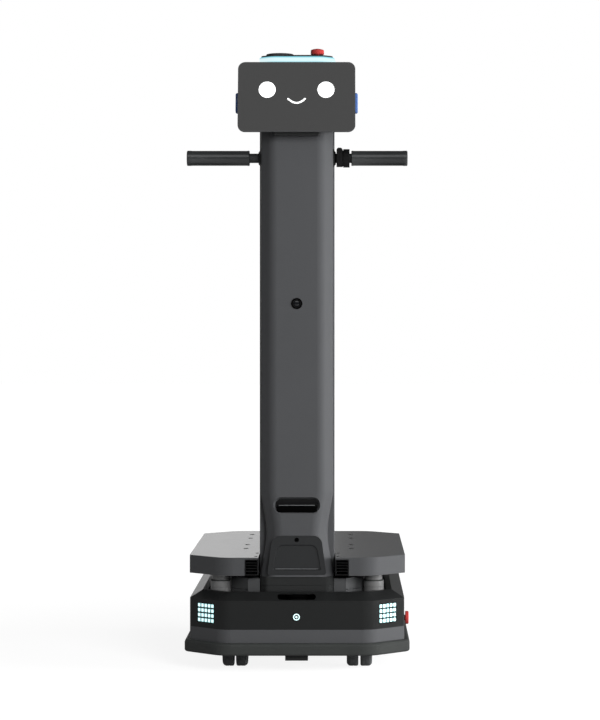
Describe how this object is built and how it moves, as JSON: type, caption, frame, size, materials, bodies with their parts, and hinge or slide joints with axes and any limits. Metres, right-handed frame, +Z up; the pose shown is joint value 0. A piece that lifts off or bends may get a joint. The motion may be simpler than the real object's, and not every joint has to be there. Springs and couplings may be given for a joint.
{
  "type": "autonomous mobile robot",
  "caption": "Low wheeled robot base with a flat lifting deck, an upright column at the front, push handles, a tilted display head, a light ring and stop buttons.",
  "frame": {"origin": "on the floor under the middle of the base's bounding box", "axes": "+Z up; the robot drives towards -Y, so its display and column are on the -Y side; X = 0 is the middle plane"},
  "size_m": [0.5, 0.835, 1.3748],
  "materials": {
    "graphite_shell": "satin",
    "black_shell": "gloss",
    "black_trim": "matte",
    "bumper_rubber": "matte",
    "grip_rubber": "matte",
    "tyre_rubber": "matte",
    "steel_frame": "satin",
    "deck_paint": "satin",
    "alloy": "satin",
    "alloy_dark": "satin",
    "ground_steel": "polished",
    "light_white": "emissive",
    "screen": "gloss",
    "red_button": "gloss",
    "blue_button": "satin"
  },
  "bodies": {
    "base": {"bumper": "bumper_rubber", "lower_skirt": "graphite_shell", "belly_pan": "alloy_dark", "chassis_plate": "steel_frame", "upper_shell": "black_shell", "top_plate": "alloy_dark", "corner_light_panels": "black_trim", "corner_light_cells": "light_white", "status_light": "light_white", "front_lidar": "black_trim", "battery_pack": "alloy", "control_boxes": "alloy_dark", "charge_contacts": "black_trim", "rear_panel": "black_trim", "caster_plates": "steel_frame", "lift_sleeves": "ground_steel", "lift_wipers": "grip_rubber", "lift_housing": "graphite_shell", "housing_cheeks": "graphite_shell", "column_spine": "steel_frame", "column_plinth": "black_trim", "column_rear_shell": "graphite_shell", "column_front_cover": "graphite_shell", "foot_panel": "graphite_shell", "foot_hatch": "graphite_shell", "slot_camera": "black_trim", "round_camera": "black_trim", "handle_bar": "steel_frame", "handle_flanges": "black_trim", "handle_grips": "grip_rubber", "switch_clamp": "black_trim", "head_bezel": "graphite_shell", "screen_glass": "screen", "head_shell": "graphite_shell", "head_neck": "black_trim", "light_ring": "light_white", "crown_cap": "black_trim"},
    "deck": {"deck_plate": "deck_paint", "deck_vents": "black_trim", "lift_rams": "ground_steel"},
    "head_stop": {"head_stop_button": "red_button"},
    "side_stop": {"side_stop_button": "red_button"},
    "power_switch": {"power_button": "alloy"},
    "left_ear": {"left_ear_button": "blue_button"},
    "right_ear": {"right_ear_button": "blue_button"},
    "thumb_switch": {"thumb_lever": "black_trim"},
    "left_rocker": {"left_drive_arm": "steel_frame"},
    "left_drive_wheel": {"left_drive_hub": "alloy", "left_drive_tyre": "tyre_rubber"},
    "right_rocker": {"right_drive_arm": "steel_frame"},
    "right_drive_wheel": {"right_drive_hub": "alloy", "right_drive_tyre": "tyre_rubber"},
    "front_left_caster": {"front_left_caster_frame": "steel_frame"},
    "front_left_wheels": {"front_left_caster_wheels": "tyre_rubber"},
    "front_right_caster": {"front_right_caster_frame": "steel_frame"},
    "front_right_wheels": {"front_right_caster_wheels": "tyre_rubber"},
    "rear_left_caster": {"rear_left_caster_frame": "steel_frame"},
    "rear_left_wheels": {"rear_left_caster_wheels": "tyre_rubber"},
    "rear_right_caster": {"rear_right_caster_frame": "steel_frame"},
    "rear_right_wheels": {"rear_right_caster_wheels": "tyre_rubber"}
  },
  "joints": [
    {"name": "deck_lift", "type": "slide", "parent": "base", "child": "deck", "axis": [0, 0, 1], "range_m": [0, 0.06]},
    {"name": "head_stop_press", "type": "slide", "parent": "base", "child": "head_stop", "axis": [0, 0, -1], "range_m": [0, 0.003], "stiffness_N_per_m": 2500},
    {"name": "side_stop_press", "type": "slide", "parent": "base", "child": "side_stop", "axis": [-1, 0, 0], "range_m": [0, 0.0027], "stiffness_N_per_m": 2500},
    {"name": "power_press", "type": "slide", "parent": "base", "child": "power_switch", "axis": [0, -1, 0], "range_m": [0, 0.002], "stiffness_N_per_m": 1500},
    {"name": "left_ear_press", "type": "slide", "parent": "base", "child": "left_ear", "axis": [1, 0, 0], "range_m": [0, 0.0015], "stiffness_N_per_m": 1500},
    {"name": "right_ear_press", "type": "slide", "parent": "base", "child": "right_ear", "axis": [-1, 0, 0], "range_m": [0, 0.0015], "stiffness_N_per_m": 1500},
    {"name": "thumb_rock", "type": "hinge", "parent": "base", "child": "thumb_switch", "pos_m": [0.0942, -0.3325, 1.142], "axis": [0, 1, 0], "range_deg": [-12, 12], "stiffness_Nm_per_rad": 1.2},
    {"name": "left_suspension", "type": "hinge", "parent": "base", "child": "left_rocker", "pos_m": [-0.16, 0.112, 0.068], "axis": [1, 0, 0], "range_deg": [-3, 3], "stiffness_Nm_per_rad": 900},
    {"name": "left_drive", "type": "hinge", "parent": "left_rocker", "child": "left_drive_wheel", "pos_m": [-0.195, 0, 0.07], "axis": [1, 0, 0], "continuous": true},
    {"name": "right_suspension", "type": "hinge", "parent": "base", "child": "right_rocker", "pos_m": [0.16, 0.112, 0.068], "axis": [1, 0, 0], "range_deg": [-3, 3], "stiffness_Nm_per_rad": 900},
    {"name": "right_drive", "type": "hinge", "parent": "right_rocker", "child": "right_drive_wheel", "pos_m": [0.195, 0, 0.07], "axis": [1, 0, 0], "continuous": true},
    {"name": "front_left_swivel", "type": "hinge", "parent": "base", "child": "front_left_caster", "pos_m": [-0.1385, -0.312, 0.086], "axis": [0, 0, 1], "continuous": true},
    {"name": "front_left_roll", "type": "hinge", "parent": "front_left_caster", "child": "front_left_wheels", "pos_m": [-0.1385, -0.288, 0.036], "axis": [1, 0, 0], "continuous": true},
    {"name": "front_right_swivel", "type": "hinge", "parent": "base", "child": "front_right_caster", "pos_m": [0.1385, -0.312, 0.086], "axis": [0, 0, 1], "continuous": true},
    {"name": "front_right_roll", "type": "hinge", "parent": "front_right_caster", "child": "front_right_wheels", "pos_m": [0.1385, -0.288, 0.036], "axis": [1, 0, 0], "continuous": true},
    {"name": "rear_left_swivel", "type": "hinge", "parent": "base", "child": "rear_left_caster", "pos_m": [-0.1385, 0.312, 0.086], "axis": [0, 0, 1], "continuous": true},
    {"name": "rear_left_roll", "type": "hinge", "parent": "rear_left_caster", "child": "rear_left_wheels", "pos_m": [-0.1385, 0.336, 0.036], "axis": [1, 0, 0], "continuous": true},
    {"name": "rear_right_swivel", "type": "hinge", "parent": "base", "child": "rear_right_caster", "pos_m": [0.1385, 0.312, 0.086], "axis": [0, 0, 1], "continuous": true},
    {"name": "rear_right_roll", "type": "hinge", "parent": "rear_right_caster", "child": "rear_right_wheels", "pos_m": [0.1385, 0.336, 0.036], "axis": [1, 0, 0], "continuous": true}
  ]
}
